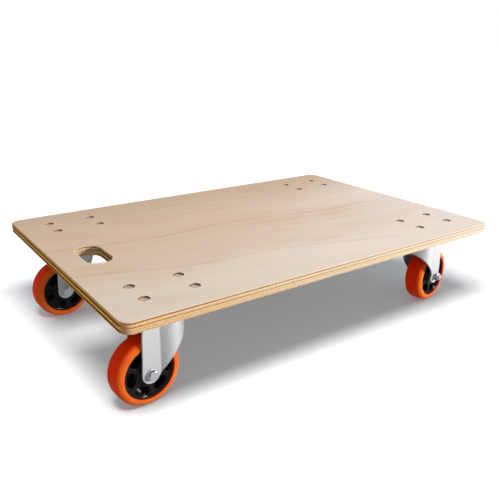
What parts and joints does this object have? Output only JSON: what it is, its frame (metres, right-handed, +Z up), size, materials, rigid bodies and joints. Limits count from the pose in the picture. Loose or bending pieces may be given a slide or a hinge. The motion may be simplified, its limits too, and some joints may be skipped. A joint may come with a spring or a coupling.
{
  "type": "platform dolly",
  "caption": "Flat plywood dolly with rounded corners and a hand slot near one end, carried on zinc swivel casters with orange tyres, for rolling heavy loads about.",
  "frame": {"origin": "on the floor under the middle of the deck", "axes": "+X along the deck away from the hand slot, +Y across the deck, +Z up from the floor to the load face"},
  "size_m": [0.72, 0.48, 0.163],
  "materials": {
    "plywood": "bare sanded plywood, pale tan, plies showing at the edges",
    "zinc_plate": "bright zinc plate on pressed steel",
    "orange_polyurethane": "satin orange polyurethane",
    "black_plastic": "glossy black moulded plastic",
    "bearing_steel": "ground bearing steel"
  },
  "bodies": {
    "deck": {"deck_board": "plywood", "deck_bolts": "zinc_plate", "deck_washers": "zinc_plate", "deck_nuts": "zinc_plate", "king_pins": "zinc_plate", "king_nuts": "zinc_plate", "front_left_top_plate": "zinc_plate", "front_left_lower_race": "zinc_plate", "front_left_swivel_balls": "bearing_steel", "front_right_top_plate": "zinc_plate", "front_right_lower_race": "zinc_plate", "front_right_swivel_balls": "bearing_steel", "rear_left_top_plate": "zinc_plate", "rear_left_lower_race": "zinc_plate", "rear_left_swivel_balls": "bearing_steel", "rear_right_top_plate": "zinc_plate", "rear_right_lower_race": "zinc_plate", "rear_right_swivel_balls": "bearing_steel"},
    "front_left_caster": {"front_left_fork": "zinc_plate", "front_left_axle_bolt": "zinc_plate", "front_left_axle_nut": "zinc_plate", "front_left_axle_sleeve": "bearing_steel", "front_left_axle_spacers": "bearing_steel", "front_left_bearing_inner_rings": "bearing_steel"},
    "front_left_wheel": {"front_left_wheel_tread": "orange_polyurethane", "front_left_wheel_hub": "black_plastic", "front_left_bearing_outer_rings": "bearing_steel", "front_left_bearing_balls": "bearing_steel"},
    "front_right_caster": {"front_right_fork": "zinc_plate", "front_right_axle_bolt": "zinc_plate", "front_right_axle_nut": "zinc_plate", "front_right_axle_sleeve": "bearing_steel", "front_right_axle_spacers": "bearing_steel", "front_right_bearing_inner_rings": "bearing_steel"},
    "front_right_wheel": {"front_right_wheel_tread": "orange_polyurethane", "front_right_wheel_hub": "black_plastic", "front_right_bearing_outer_rings": "bearing_steel", "front_right_bearing_balls": "bearing_steel"},
    "rear_left_caster": {"rear_left_fork": "zinc_plate", "rear_left_axle_bolt": "zinc_plate", "rear_left_axle_nut": "zinc_plate", "rear_left_axle_sleeve": "bearing_steel", "rear_left_axle_spacers": "bearing_steel", "rear_left_bearing_inner_rings": "bearing_steel"},
    "rear_left_wheel": {"rear_left_wheel_tread": "orange_polyurethane", "rear_left_wheel_hub": "black_plastic", "rear_left_bearing_outer_rings": "bearing_steel", "rear_left_bearing_balls": "bearing_steel"},
    "rear_right_caster": {"rear_right_fork": "zinc_plate", "rear_right_axle_bolt": "zinc_plate", "rear_right_axle_nut": "zinc_plate", "rear_right_axle_sleeve": "bearing_steel", "rear_right_axle_spacers": "bearing_steel", "rear_right_bearing_inner_rings": "bearing_steel"},
    "rear_right_wheel": {"rear_right_wheel_tread": "orange_polyurethane", "rear_right_wheel_hub": "black_plastic", "rear_right_bearing_outer_rings": "bearing_steel", "rear_right_bearing_balls": "bearing_steel"}
  },
  "joints": [
    {"name": "front_left_swivel", "type": "hinge", "parent": "deck", "child": "front_left_caster", "pos_m": [-0.269, -0.1645, 0.1304], "axis": [0, 0, 1], "continuous": true},
    {"name": "front_left_roll", "type": "hinge", "parent": "front_left_caster", "child": "front_left_wheel", "pos_m": [-0.30289, -0.16723, 0.05], "axis": [0.0802, -0.9968, 0], "continuous": true},
    {"name": "front_right_swivel", "type": "hinge", "parent": "deck", "child": "front_right_caster", "pos_m": [-0.269, 0.1645, 0.1304], "axis": [0, 0, 1], "continuous": true},
    {"name": "front_right_roll", "type": "hinge", "parent": "front_right_caster", "child": "front_right_wheel", "pos_m": [-0.30294, 0.16242, 0.05], "axis": [0.061, -0.9981, 0], "continuous": true},
    {"name": "rear_left_swivel", "type": "hinge", "parent": "deck", "child": "rear_left_caster", "pos_m": [0.269, -0.1645, 0.1304], "axis": [0, 0, 1], "continuous": true},
    {"name": "rear_left_roll", "type": "hinge", "parent": "rear_left_caster", "child": "rear_left_wheel", "pos_m": [0.30257, -0.15912, 0.05], "axis": [-0.1582, 0.9874, 0], "continuous": true},
    {"name": "rear_right_swivel", "type": "hinge", "parent": "deck", "child": "rear_right_caster", "pos_m": [0.269, 0.1645, 0.1304], "axis": [0, 0, 1], "continuous": true},
    {"name": "rear_right_roll", "type": "hinge", "parent": "rear_right_caster", "child": "rear_right_wheel", "pos_m": [0.30287, 0.16746, 0.05], "axis": [-0.0872, 0.9962, 0], "continuous": true}
  ]
}
